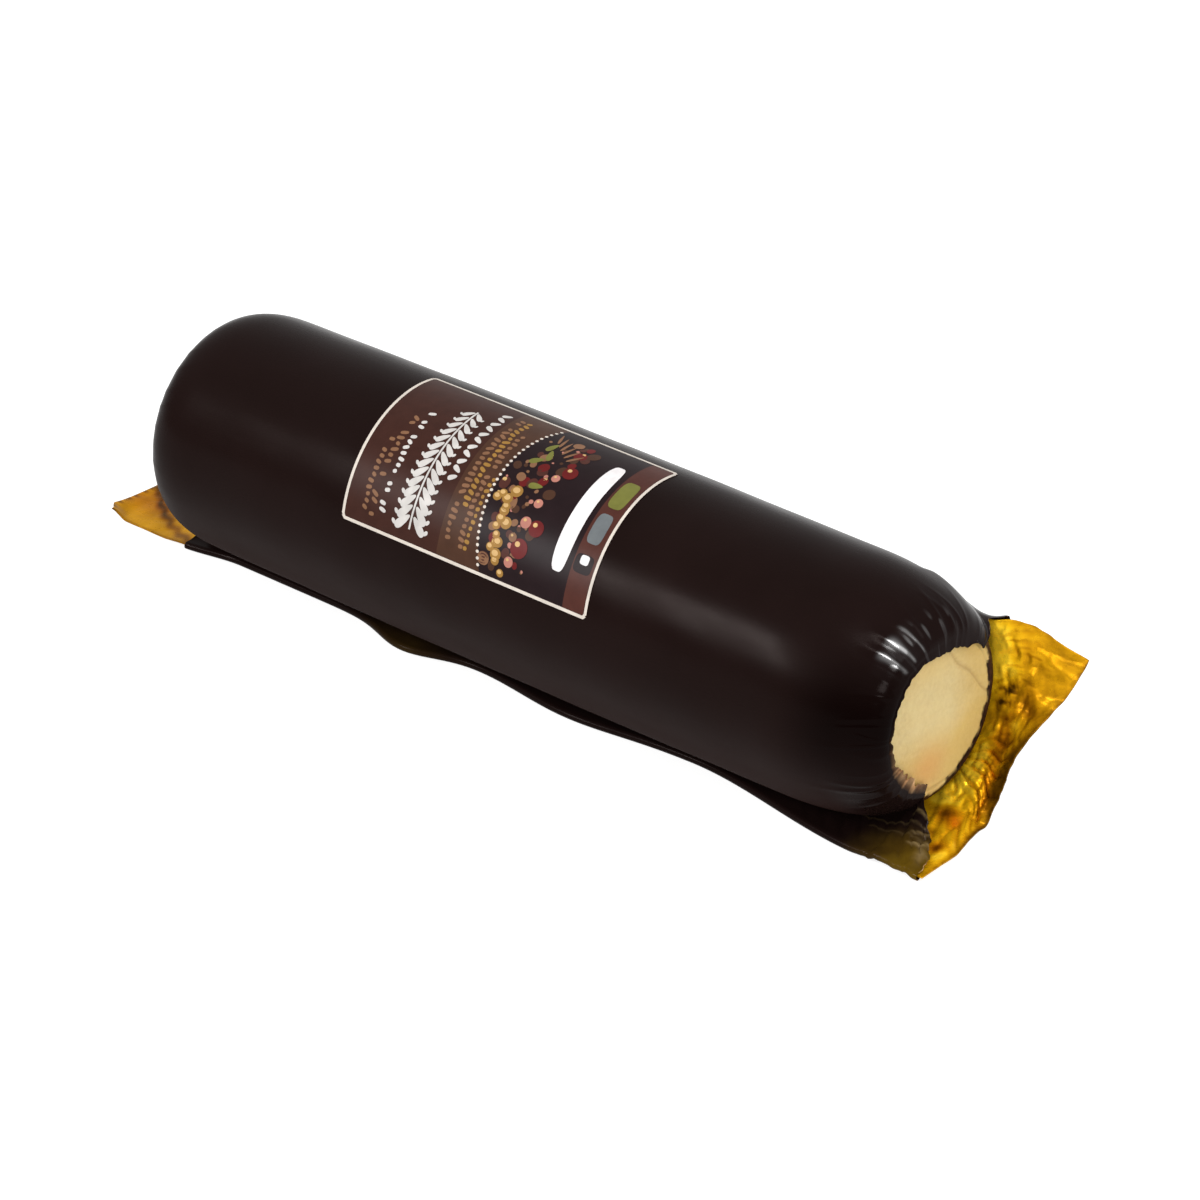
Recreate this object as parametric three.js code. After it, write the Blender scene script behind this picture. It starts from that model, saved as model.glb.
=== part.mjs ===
// A log of smoked cheese in its retail pack: a cheese with flat cut ends, a gold card folded round
// its underside and back, a brown film sleeve shrunk over both, and a label on the film.
//
// Units are millimetres. X runs along the log, +Z is up, and -Y is the front, which the label faces.
// The pack stands on Z = 0, and the origin is at the bottom centre of its bounding box. The functions
// below work with the log's axis in the plane Y = 0 and its middle at X = 0.

import * as THREE from "three";

const radians = THREE.MathUtils.degToRad;

// ---- Driving dimensions ----

const LOG_LENGTH = 253; // from cut face to cut face
const LOG_RADIUS = 33.7; // of the cheese, at the middle of its length
const BARREL = 0.027; // share of the radius lost from the middle to the ends
const FACE_RADIUS = 21; // of the flat cut face at each end
const SHOULDER = { left: 18, right: 33 }; // axial length of each rounded shoulder
const SHOULDER_POWER = { left: 2.9, right: 2.08 }; // superellipse power, 2 being an ellipse

const FILM = 0.5; // thickness of the sleeve
const CARD = 0.6; // thickness of the card
const LABEL = 0.3; // thickness of the label
const GAP = 0.3; // clearance between neighbouring layers

const CARD_BACK = 66.5; // of the card's width, wrapped round the log behind the line below its axis
const CARD_FRONT = 12.5; // of its width, flat on the ground in front of that line
const CARD_FLAT = 3; // how far it stays flat behind that line before it turns up
const CARD_REACH = { left: 33.5, right: 12 }; // how far the card passes each cut face
const CARD_RISE = { most: 2, before: 2, width: 7 }; // how much wider its back is at the right neck
const WAIST = { depth: 4, place: 32, width: 19 }; // where each end of the card is drawn in
const NOTCH = { depth: 3, place: 9, width: 12 }; // the right end's second one, near its front corner
const CORNER = { cut: 3.2, reach: 4.5 }; // the left end's front corner is cut off
const OPENING = { before: 9, power: 1.4 }; // the card springs open from before the right face on
const PINCH = { before: 6, width: 9 }; // where it is drawn tightest round the log at the right end

const LABEL_LENGTH = 86.5; // along the log
const LABEL_OFFSET = -8.2; // its middle, along X
const LABEL_ANGLES = [104.5, 194]; // from the lowest line round the front, in degrees
const LABEL_CORNER = 1.2; // corner radius
const LABEL_SKEW = -2.5; // how far the label's ends drift along X in one radian round the log

const LIP = { least: 0.3, rise: 0.3 }; // how far the film covers a cut face, and stands off it
const LIP_TOP = { more: 2.9, place: radians(180), width: radians(28) }; // where it covers more
const LIP_LOW = { more: 3.3, place: radians(315), width: radians(25) };
const SLIDE = { front: 10.5, back: -5 }; // of the sleeve's right end, along X, where it lies on the
// card's front, and where it wraps the card's back edge
const LEAVE = { front: radians(-15), back: radians(126) }; // where the film leaves the log
const LAND = { front: radians(-175), back: radians(205) }; // where it meets each edge of the card
const SLACK = { most: 0.7, from: 22.5, to: 3 }; // more clearance behind the card as it springs open
const SHRUNK = { from: 22, to: 4 }; // before the right face, its back turns from taut to shrunk in
const PLEATS = 11; // folds of the film round each open end
const PLEAT_HEIGHT = { left: 0.5, right: 0.9 }; // of a fold, at the lip
const PLEAT_LENGTH = { left: 13, right: 24 }; // how far the folds run back from the lip

// ---- Places that follow from them ----

const HALF = LOG_LENGTH / 2;
const CARD_Z = FILM + GAP + CARD / 2; // the card's middle layer where it lies flat
const AXIS_Z = CARD_Z + CARD / 2 + GAP + LOG_RADIUS;
const CARD_END = { left: -HALF - CARD_REACH.left, right: HALF + CARD_REACH.right };

// ---- Small helpers ----

const mix = THREE.MathUtils.lerp;
const smooth = THREE.MathUtils.smoothstep; // smooth(value, low, high), from 0 to 1
const bump = (value, middle, width) => Math.exp(-(((value - middle) / width) ** 2));
const steps = (count, make) => Array.from({ length: count + 1 }, (_, i) => make(i / count));

// The point at an angle round a centre: 0 is straight down, and a positive angle is at the back.
function onCircle(centre, radius, angle) {
  return [centre[0] + radius * Math.sin(angle), centre[1] - radius * Math.cos(angle)];
}

// ---- The log ----

// Radius of the cheese at x.
function logRadius(x) {
  const end = x < 0 ? "left" : "right";
  const power = SHOULDER_POWER[end];
  const share = THREE.MathUtils.clamp(1 + (Math.abs(x) - HALF) / SHOULDER[end], 0, 1);
  const barrel = LOG_RADIUS * (1 - BARREL * (x / HALF) ** 2);
  return FACE_RADIUS + (barrel - FACE_RADIUS) * (1 - share ** power) ** (1 / power);
}

// Stations along the log: close together on the shoulders, where the outline turns.
function logStations(leftCount, middleCount, rightCount) {
  const share = (t, power) => Math.sin((t * Math.PI) / 2) ** (2 / power);
  const fromFace = (end, t) => SHOULDER[end] * (1 - share(t, SHOULDER_POWER[end]));
  const left = steps(leftCount, (t) => -HALF + fromFace("left", 1 - t));
  const right = steps(rightCount, (t) => HALF - fromFace("right", t));
  const middle = steps(middleCount, (t) => mix(left.at(-1), right[0], t));
  return [...left, ...middle.slice(1, -1), ...right];
}

function makeCheese() {
  const outline = logStations(4, 3, 7).map((x) => new THREE.Vector2(logRadius(x), x));
  const profile = [new THREE.Vector2(0, -HALF), ...outline, new THREE.Vector2(0, HALF)];
  const geometry = new THREE.LatheGeometry(profile, 32);
  geometry.rotateZ(-Math.PI / 2);
  geometry.translate(0, 0, AXIS_Z);
  return geometry;
}

// ---- The card ----

// Distances across the card are measured from the line below the log's axis, along the card.
// Each entry turns the section by an angle in degrees, over a length that starts at a distance.
const tight = (radius) => [{ start: CARD_FLAT, length: 100, turn: 100 / radians(radius) }];
const WRAPPED = tight(33);
const NECK = tight(31.5);
const STEP_DOWN = [
  { start: -13, length: 3, turn: -5.7 }, // behind the film's corner it steps down to the ground
  { start: -5, length: 3, turn: 5.7 },
];
const RIGHT_FLAP = [
  { start: 10.5, length: 3.5, turn: 58 },
  { start: 22, length: 18, turn: -26 },
  { start: 50, length: 8, turn: 16 },
];
const LEFT_FLAP = [{ start: 2, length: 62, turn: 62 }];
const CURL = { angle: -13, flatBy: 16, lift: 2.2, reach: 6 }; // of the front corner at the left end
const CRUMPLE_HEIGHT = 0.55; // of the card's creases
const CRUMPLED = { end: 0.055, middle: 0.038 }; // share of the card's width lost in its creases

function turned(bends, s) {
  return bends.reduce((sum, { start, length, turn }) => {
    return sum + radians(turn) * THREE.MathUtils.clamp((s - start) / length, 0, 1);
  }, 0);
}

// How far the front edge lies from the line below the axis: the film's tension waves it a little.
function frontEdge(x) {
  const waves = 6 * bump(x, -42, 14) + 4.2 * bump(x, 16, 24);
  return CARD_FRONT + waves + 8 * smooth(x, 56, 118) + 3 * smooth(-x, 108, 130);
}

// How far the card has taken each of its forms at x: tight at the neck, sprung open at its ends.
function cardForm(x) {
  const opening = (x - HALF + OPENING.before) / (CARD_REACH.right + OPENING.before);
  const rightFlap = THREE.MathUtils.clamp(opening, 0, 1) ** OPENING.power;
  const past = THREE.MathUtils.clamp((x - HALF - 0.5) / (CARD_REACH.right - 0.5), 0, 1);
  const leftFlap = smooth(-x, HALF + 2, -CARD_END.left);
  const neck = bump(x, HALF - PINCH.before, PINCH.width) + bump(x, -HALF, 5);
  const curl = smooth(-x, -CARD_END.left - CURL.reach, -CARD_END.left);
  return { rightFlap, past, leftFlap, curl, neck: neck * (1 - rightFlap) * (1 - leftFlap) };
}

const ACROSS = 14; // cells of the card's grid from its front edge to its back edge

// The card's middle line at x, from the front edge to the back edge, as [y, z] points.
function cardSection(x, count) {
  const { rightFlap, past, leftFlap, curl, neck } = cardForm(x);
  const plain = 1 - rightFlap - leftFlap - neck;
  const start = -frontEdge(x);
  const angle = (s) =>
    plain * turned(WRAPPED, s) +
    neck * turned(NECK, s) +
    rightFlap * turned(RIGHT_FLAP, s) +
    past * turned(STEP_DOWN, s) +
    leftFlap * turned(LEFT_FLAP, s) +
    curl * radians(CURL.angle) * (1 - smooth(s, start, start + CURL.flatBy));
  const settle = CARD_Z - CARD / 2; // beyond the film's left end the card drops to the ground
  const drop = settle * smooth(-x, HALF + 1, HALF + 12);
  const fine = 8; // integration steps for each point
  const crumpled = CRUMPLED.end * rightFlap + CRUMPLED.middle * Math.sin(Math.PI * rightFlap);
  const rise = CARD_RISE.most * bump(x, HALF - CARD_RISE.before, CARD_RISE.width);
  const step = (CARD_BACK * (1 - crumpled) + rise - start) / (count * fine);
  let [s, y, z] = [start, start, CARD_Z - drop + CURL.lift * curl];
  const points = [[y, z]];
  for (let i = 0; i < count; i += 1) {
    for (let k = 0; k < fine; k += 1) {
      const a = angle(s + step / 2);
      s += step;
      y += Math.cos(a) * step;
      z += Math.sin(a) * step;
    }
    points.push([y, z]);
  }
  return points;
}

// Height of the card's crumpled relief: short folds that run out from the neck.
function crumple(x, s) {
  const free = Math.max(smooth(x, HALF + 1, HALF + 5), smooth(-x, HALF + 2, HALF + 10));
  const lying = smooth(s, 10, 22); // the front strip lies flat on the ground
  const folds = Math.sin(s * 0.62 + x * 0.11) + 0.6 * Math.sin(s * 1.13 - x * 0.23 + 1.7);
  return CRUMPLE_HEIGHT * free * lying * folds;
}

// The card's middle layer as rows of points across it, with its ends drawn in at the waist.
function cardGrid(across) {
  const underFilm = logStations(4, 13, 7).map((logX) => filmStation(logX).x);
  const left = steps(5, (t) => mix(CARD_END.left, underFilm[0], t));
  const right = steps(5, (t) => mix(underFilm.at(-1), CARD_END.right, t));
  const stations = [...left, ...underFilm.slice(1, -1), ...right];
  return stations.map((x) => {
    const leftEnd = smooth(-x, HALF, -CARD_END.left);
    const rightEnd = smooth(x, HALF, CARD_END.right);
    const start = -frontEdge(x);
    return cardSection(x, across).map(([y, z], j) => {
      const s = mix(start, CARD_BACK, j / across);
      const waist = WAIST.depth * bump(s, WAIST.place, WAIST.width);
      const notch = NOTCH.depth * bump(s, NOTCH.place, NOTCH.width);
      const corner = CORNER.cut * (1 - smooth(s, start, start + CORNER.reach));
      const inward = leftEnd * (waist + corner) - rightEnd * (waist + notch);
      return { point: new THREE.Vector3(x + inward, y, z), relief: crumple(x, s) };
    });
  });
}

// ---- Solids made from grids of points ----

function gridNormals(grid, wraps) {
  return grid.map((row, i) =>
    row.map((_, j) => {
      const n = row.length;
      const before = wraps ? row[(j + n - 1) % n] : row[Math.max(j - 1, 0)];
      const after = wraps ? row[(j + 1) % n] : row[Math.min(j + 1, n - 1)];
      const along = grid[Math.min(i + 1, grid.length - 1)][j]
        .clone()
        .sub(grid[Math.max(i - 1, 0)][j]);
      return new THREE.Vector3().crossVectors(along, after.clone().sub(before)).normalize();
    }),
  );
}

// A closed solid between two offsets of a grid, along its normals. A grid that wraps is a tube.
function sheetSolid(grid, low, high, wraps) {
  const normals = gridNormals(grid, wraps);
  const rows = grid.length;
  const columns = grid[0].length;
  const positions = [];
  for (const offset of [low, high])
    grid.forEach((row, i) =>
      row.forEach((point, j) => {
        const moved = point.clone().addScaledVector(normals[i][j], offset);
        positions.push(moved.x, moved.y, moved.z);
      }),
    );
  const at = (layer, i, j) => (layer * rows + i) * columns + (j % columns);
  const index = [];
  const quad = (a, b, c, d) => index.push(a, b, c, a, c, d);
  const lastColumn = wraps ? columns : columns - 1;
  for (let i = 0; i < rows - 1; i += 1)
    for (let j = 0; j < lastColumn; j += 1) {
      quad(at(1, i, j), at(1, i + 1, j), at(1, i + 1, j + 1), at(1, i, j + 1));
      quad(at(0, i, j), at(0, i, j + 1), at(0, i + 1, j + 1), at(0, i + 1, j));
    }
  for (let j = 0; j < lastColumn; j += 1) {
    const end = rows - 1;
    quad(at(0, 0, j), at(1, 0, j), at(1, 0, j + 1), at(0, 0, j + 1));
    quad(at(0, end, j), at(0, end, j + 1), at(1, end, j + 1), at(1, end, j));
  }
  for (let i = 0; i < rows - 1 && !wraps; i += 1) {
    const end = columns - 1;
    quad(at(0, i, 0), at(0, i + 1, 0), at(1, i + 1, 0), at(1, i, 0));
    quad(at(0, i, end), at(1, i, end), at(1, i + 1, end), at(0, i + 1, end));
  }
  const geometry = new THREE.BufferGeometry();
  geometry.setAttribute("position", new THREE.Float32BufferAttribute(positions, 3));
  geometry.setIndex(index);
  geometry.computeVertexNormals();
  return geometry;
}

function makeCard() {
  const cells = cardGrid(ACROSS);
  const smoothGrid = cells.map((row) => row.map((cell) => cell.point));
  const normals = gridNormals(smoothGrid, false);
  const crumpled = cells.map((row, i) =>
    row.map(({ point, relief }, j) => point.clone().addScaledVector(normals[i][j], relief)),
  );
  return sheetSolid(crumpled, -CARD / 2, CARD / 2, false);
}

// ---- The film ----

// The straight line that touches two discs on their back side leaves both at the same angle.
function tangentAngle(centre, radius, otherCentre, otherRadius) {
  const dy = otherCentre[0] - centre[0];
  const dz = otherCentre[1] - centre[1];
  return Math.atan2(dy, -dz) + Math.acos((radius - otherRadius) / Math.hypot(dy, dz));
}

// The film follows the log's outline, moved out by the gap.
function filmStation(logX) {
  const small = 0.01;
  const side = Math.sign(logX);
  const fall = (logRadius(logX - side * small) - logRadius(logX)) / small;
  const share = 1 / Math.hypot(1, fall);
  return { x: logX + side * GAP * fall * share, radius: logRadius(logX) + GAP * share };
}

// The film's inner face at a station, as a closed loop of points: up its front, over the log, down
// behind it round the card, and forward along the ground to the card's front edge. With each point
// comes how far it slides along X at the right end. The last loop at each end is a lip.
function filmLoop({ x, radius }, lip) {
  const log = [0, AXIS_Z];
  const rim = CARD / 2 + GAP; // the film's distance from the card's middle line
  const card = cardSection(x, ACROSS);
  const front = card[0];
  const back = card.at(-1);
  const slack = SLACK.most * smooth(x, HALF - SLACK.from, HALF - SLACK.to);
  const backTangent = tangentAngle(log, radius, back, rim);

  const shrunk = smooth(x, HALF - SHRUNK.from, HALF - SHRUNK.to);
  const backLeave = mix(backTangent, LEAVE.back, shrunk);
  const backLand = mix(backTangent, LAND.back, shrunk);

  const touch = onCircle(log, radius, LEAVE.front);
  const edge = onCircle(front, rim, LAND.front);
  const valley = [mix(edge[0], touch[0], 0.75), front[1] + rim];
  const web = steps(5, (t) => {
    const along = (k) => (1 - t) ** 2 * edge[k] + 2 * t * (1 - t) * valley[k] + t * t * touch[k];
    return [along(0), along(1), SLIDE.front * (1 - t * t) ** 1.2];
  }).slice(1, -1);

  const over = steps(30, (t) => {
    const angle = mix(LEAVE.front + 2 * Math.PI, backLeave, t);
    const proud = pleat(x, angle) * Math.sin(Math.PI * t) ** 0.3;
    const cover = lip ? lipCover(angle) * (1 - smooth(t, 0.9, 1)) : 0;
    return [...onCircle(log, radius + proud - cover, angle), 0];
  });

  const leftLog = onCircle(log, radius, backLeave);
  const metCard = onCircle(back, rim + slack, backLand);
  const span = steps(4, (t) => {
    const slide = SLIDE.back * smooth(t, 0.2, 0.8);
    return [mix(leftLog[0], metCard[0], t), mix(leftLog[1], metCard[1], t), slide];
  }).slice(1, -1);

  const [beforeY, beforeZ] = card.at(-2);
  const backFacing = Math.atan2(back[1] - beforeZ, back[0] - beforeY);
  const backWrap = steps(3, (t) => {
    return [...onCircle(back, rim + slack, mix(backLand, backFacing, t)), SLIDE.back];
  });
  const outside = card.slice(0, -1).map(([y, z], j) => {
    const [nextY, nextZ] = card[j + 1];
    const length = Math.hypot(nextY - y, nextZ - z);
    const share = j / ACROSS;
    const slide = SLIDE.back * smooth(share, 0.7, 1) + SLIDE.front * (1 - smooth(share, 0, 0.12));
    const off = (rim + slack * smooth(share, 0.35, 0.5)) / length;
    return [y + off * (nextZ - z), z - off * (nextY - y), slide];
  });
  const frontWrap = steps(3, (t) => {
    return [...onCircle(front, rim, mix(radians(-15), LAND.front, t)), SLIDE.front];
  });
  return [...web, ...over, ...span, ...backWrap, ...outside.reverse(), ...frontWrap];
}

function filmGrid() {
  const row = (logX, lip) => {
    const own = filmStation(logX);
    const ending = smooth(logX, HALF - SHOULDER.right, HALF);
    const rise = lip ? Math.sign(logX) * LIP.rise : 0;
    return filmLoop(own, lip).map(([y, z, slide], j) => {
      if (slide * ending === 0) return new THREE.Vector3(own.x + rise, y, z);
      const other = filmStation(logX + slide * ending);
      const [slidY, slidZ] = filmLoop(other, lip)[j];
      return new THREE.Vector3(other.x + rise, slidY, slidZ);
    });
  };
  const rows = logStations(4, 13, 7).map((logX) => row(logX, false));
  return [row(-HALF, true), ...rows, row(HALF, true)];
}

// How far the lip of the film covers the cut face at an angle round it.
function lipCover(angle) {
  const extra = ({ more, place, width }) => more * bump(angle, place, width);
  return LIP.least + extra(LIP_TOP) + extra(LIP_LOW);
}

// Height of the pleats at an angle round the log: full at the lip, and gone where they end.
function pleat(x, angle) {
  const end = x < 0 ? "left" : "right";
  const grown = smooth(Math.abs(x), HALF - PLEAT_LENGTH[end], HALF);
  const uneven = 0.7 + 0.3 * Math.sin(3 * angle + 1);
  const fold = 0.5 + 0.5 * Math.sin(PLEATS * angle + 1.3 * Math.sin(2 * angle));
  return PLEAT_HEIGHT[end] * grown * uneven * fold;
}

function makeSleeve() {
  return sheetSolid(filmGrid(), 0, FILM, true);
}

// ---- The label ----

function makeLabel() {
  const [low, high] = LABEL_ANGLES.map(radians);
  const width = (high - low) * (LOG_RADIUS + GAP + FILM);
  const grid = steps(12, (across) => {
    const angle = mix(high, low, across);
    const fromEdge = Math.min(across, 1 - across) * width;
    const cut = Math.max(LABEL_CORNER - fromEdge, 0);
    const inset = LABEL_CORNER - Math.sqrt(LABEL_CORNER ** 2 - cut ** 2);
    const reach = LABEL_LENGTH / 2 - inset;
    return steps(5, (along) => {
      const x = LABEL_OFFSET + LABEL_SKEW * (angle - (low + high) / 2) + mix(-reach, reach, along);
      const [y, z] = onCircle([0, AXIS_Z], logRadius(x) + GAP + FILM, -angle);
      return new THREE.Vector3(x, y, z);
    });
  });
  return sheetSolid(grid, GAP, GAP + LABEL, false);
}

// ---- The pack ----

function part(name, geometry, color, roughness, metalness) {
  const material = new THREE.MeshStandardMaterial({ color, roughness, metalness });
  const mesh = new THREE.Mesh(geometry, material);
  mesh.name = name;
  return mesh;
}

const pack = new THREE.Group();
pack.add(
  part("cheese", makeCheese(), 0xe3cf96, 0.55, 0),
  part("card", makeCard(), 0xc8960c, 0.3, 1),
  part("sleeve", makeSleeve(), 0x22130f, 0.3, 0),
  part("label", makeLabel(), 0x4a2a1c, 0.45, 0),
);

const middle = new THREE.Box3().setFromObject(pack).getCenter(new THREE.Vector3());
pack.position.set(-middle.x, -middle.y, 0);

export default pack;
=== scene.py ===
"""A long smoked cheese in its retail pack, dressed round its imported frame.

Sizes are in millimetres, from the ground below the log's middle, with X along the log. The meshes
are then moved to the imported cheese's place and scaled to metres. An angle round the log is 0
straight down, and a positive one is behind.
"""

import bpy
import numpy as np
from mathutils import Matrix, Vector
from numpy import clip, concatenate, cos, exp, linspace, pi, radians, sin


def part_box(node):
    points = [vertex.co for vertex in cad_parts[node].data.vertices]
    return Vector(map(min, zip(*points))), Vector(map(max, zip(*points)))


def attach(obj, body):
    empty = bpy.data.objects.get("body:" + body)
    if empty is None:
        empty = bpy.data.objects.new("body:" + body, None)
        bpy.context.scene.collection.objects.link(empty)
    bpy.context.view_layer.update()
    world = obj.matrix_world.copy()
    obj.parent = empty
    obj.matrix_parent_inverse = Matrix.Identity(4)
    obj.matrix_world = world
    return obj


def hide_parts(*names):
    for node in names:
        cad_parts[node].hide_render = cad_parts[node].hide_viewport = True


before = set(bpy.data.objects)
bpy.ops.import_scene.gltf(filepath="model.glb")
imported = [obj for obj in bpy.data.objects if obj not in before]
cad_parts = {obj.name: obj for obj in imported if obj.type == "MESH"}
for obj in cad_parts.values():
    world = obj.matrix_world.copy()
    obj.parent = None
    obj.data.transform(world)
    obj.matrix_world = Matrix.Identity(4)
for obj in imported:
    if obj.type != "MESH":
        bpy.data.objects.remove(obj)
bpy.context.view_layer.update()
cheese_low, cheese_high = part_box("cheese")

MM = 0.001
PLACE = ((cheese_low.x + cheese_high.x) / 2 / MM, (cheese_low.y + cheese_high.y) / 2 / MM, 0.0)

# ---- Sizes of the pack, in millimetres ----

HALF = 126.5  # half of the log's length
LOG_RADIUS = 33.7
BARREL = 0.027  # share that the log's outline draws in towards its ends
FACE_RADIUS = 21.0
SHOULDER = {"left": 18.0, "right": 33.0}
SHOULDER_POWER = {"left": 2.9, "right": 2.08}
RIM_WEAR = 0.35  # how far the cut face's rim is worn back
CUT_DEPTH = 0.45  # of the knife's mark across the face
RIND_FROM = 22.5  # radius where the rind's colour starts on each cut end
RIND_OVER = 2.1  # how much farther in it starts where no film covers the rim, as painted shadow of the gap there
FILM = 0.5  # depth of the room that the film has outside the gap
CARD = 0.6  # depth of the room that the card has
GAP = 0.3
RIM = CARD / 2 + GAP  # radius of the film's turn round an edge of the card
CARD_Z = FILM + GAP + CARD / 2
AXIS_Z = CARD_Z + CARD / 2 + GAP + LOG_RADIUS

# A place across the card is measured along it, from below the log's axis to the back.
CARD_BACK = 66.5
CARD_FRONT = 12.5
CARD_FLAT = 3.0  # where the card starts to rise behind
LEFT_REACH, RIGHT_REACH = 33.5, 12.0  # how far the card reaches past each face
OPENS_BEFORE = 9.0  # how far before the right face the card springs open
WAIST = (4.0, 32.0, 19.0)  # depth, place and width of the drawn-in part of each end
NOTCH = (3.0, 9.0, 12.0)  # of the right end's second one
CORNER_CUT, CORNER_REACH = 3.2, 4.5  # the left end's front corner is cut off
NECK_RISE = 2.0  # how much farther up the card reaches by the right face

LABEL_LENGTH = 86.5
LABEL_OFFSET = -8.2
LABEL_ANGLES = (radians(104.5), radians(194.0))  # turned forward from straight down
LABEL_CORNER = 1.2
LABEL_SKEW = -2.5
LABEL_LIFT = 0.04  # between the film and the label
LAYER = 0.02  # between one layer of the print and the next

LIP_RISE = 0.3
SLIDE_FRONT, SLIDE_BACK = 10.5, -5.0  # how far the film's right end slides along X
LEAVE_FRONT, LEAVE_BACK = radians(-15), radians(126)  # where the film leaves the log
LAND_FRONT, LAND_BACK = radians(-175), radians(205)  # where it meets the card's edges
UNDER_FRONT = radians(-15)  # where it leaves the card's front edge, below
VALLEY = 10.0  # how far the film lies along the card before it bends up to the log

FILM_THICKNESS = 0.16
CARD_THICKNESS = 0.36
LABEL_THICKNESS = 0.1


# ---- Small helpers ----

def mix(a, b, t):
    return a + (b - a) * t


def smooth(value, low, high):
    t = clip((value - low) / (high - low), 0, 1)
    return t * t * (3 - 2 * t)


def bump(value, middle, width):
    return exp(-(((value - middle) / width) ** 2))


def wrapped(angle):
    """The same angle, within half a turn of 0."""
    return np.angle(exp(1j * angle))


def on_circle(y, z, radius, angle):
    """The point at an angle round a centre."""
    return y + radius * sin(angle), z - radius * cos(angle)


def srgb(red, green, blue):
    """A linear colour from 0 to 255 display values."""
    share = np.array([red, green, blue]) / 255
    linear = np.where(share <= 0.04045, share / 12.92, ((share + 0.055) / 1.055) ** 2.4)
    return (*[float(v) for v in linear], 1.0)


# ---- Meshes ----

def to_metres(points):
    return (np.asarray(points, float) + np.array(PLACE)) * MM


def add_object(name, data):
    made = bpy.data.objects.new(name, data)
    bpy.context.scene.collection.objects.link(made)
    return made


def new_object(name, points, quads, material, triangles=(), looks=None):
    """A smooth object from points in millimetres, its faces and its looks at the points.

    A look's values are repeated for a sheet's second face, and are 0 for points past them.
    """
    faces = [corners.tolist() for corners in (*quads, *triangles)]
    mesh = bpy.data.meshes.new(name)
    mesh.from_pydata(to_metres(points).tolist(), [], faces)
    mesh.materials.append(material)
    mesh.shade_smooth()
    for look, values in (looks or {}).items():
        values = np.tile(values.ravel(), len(points) // values.size)
        values = np.pad(values, (0, len(points) - len(values))).astype(np.float32)
        mesh.attributes.new(look, "FLOAT", "POINT").data.foreach_set("value", values)
    return add_object(name, mesh)


def grid_normals(grid, wraps):
    along = np.gradient(grid, axis=0)
    if wraps:
        across = np.roll(grid, -1, axis=1) - np.roll(grid, 1, axis=1)
    else:
        across = np.gradient(grid, axis=1)
    normals = np.cross(along, across)
    return normals / np.maximum(np.linalg.norm(normals, axis=2, keepdims=True), 1e-9)


def faces_of(*corners):
    """One face for each place in the arrays of its corners."""
    return np.stack(np.broadcast_arrays(*corners), axis=-1).reshape(-1, len(corners))


def sheet(grid, low, high, wraps):
    """Points and quads of a closed sheet between two offsets of a grid along its normals."""
    normals = grid_normals(grid, wraps)
    points = concatenate([(grid + normals * d).reshape(-1, 3) for d in (low, high)])
    count = len(points) // 2
    lower = np.arange(count).reshape(grid.shape[:2])
    if wraps:
        lower = np.column_stack([lower, lower[:, 0]])
    upper = lower + count
    faces = [
        faces_of(upper[:-1, :-1], upper[1:, :-1], upper[1:, 1:], upper[:-1, 1:]),
        faces_of(lower[:-1, :-1], lower[:-1, 1:], lower[1:, 1:], lower[1:, :-1]),
        faces_of(lower[:1, :-1], upper[:1, :-1], upper[:1, 1:], lower[:1, 1:]),
        faces_of(lower[-1:, :-1], lower[-1:, 1:], upper[-1:, 1:], upper[-1:, :-1]),
    ]
    if not wraps:
        faces.append(faces_of(lower[:-1, 0], lower[1:, 0], upper[1:, 0], upper[:-1, 0]))
        faces.append(faces_of(lower[:-1, -1], upper[:-1, -1], upper[1:, -1], lower[1:, -1]))
    return points, concatenate(faces)


# ---- The log ----

def log_radius(x):
    length, power = (np.where(x < 0, *ends.values()) for ends in (SHOULDER, SHOULDER_POWER))
    share = clip(1 + (abs(x) - HALF) / length, 0, 1)
    barrel = LOG_RADIUS * (1 - BARREL * (x / HALF) ** 2)
    return FACE_RADIUS + (barrel - FACE_RADIUS) * (1 - share**power) ** (1 / power)


def log_stations(left_count, middle_count, right_count):
    """Places along the log, close together on the shoulders, where the outline turns."""
    def from_face(end, t):
        return SHOULDER[end] * (1 - sin(t * pi / 2) ** (2 / SHOULDER_POWER[end]))

    left = -HALF + from_face("left", 1 - linspace(0, 1, left_count))
    right = HALF - from_face("right", linspace(0, 1, right_count))
    middle = linspace(left[-1], right[0], middle_count)
    return concatenate([left, middle[1:-1], right])


def cut_mark(y, up):
    """Depth of a shallow mark across the upper part of the cut face; up is above the axis."""
    along = radians(-47)
    off = (y - 9.8) * sin(along) - (up - 10) * cos(along) + 0.4 * sin(y * 0.6)
    reach = smooth(y, 0, 4)
    ripple = 0.03 * sin(up * 1.9 + 0.4 * y) + 0.02 * sin(up * 4.3 + 1)
    return ripple + CUT_DEPTH * reach * exp(-((off / 0.5) ** 2))


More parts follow.
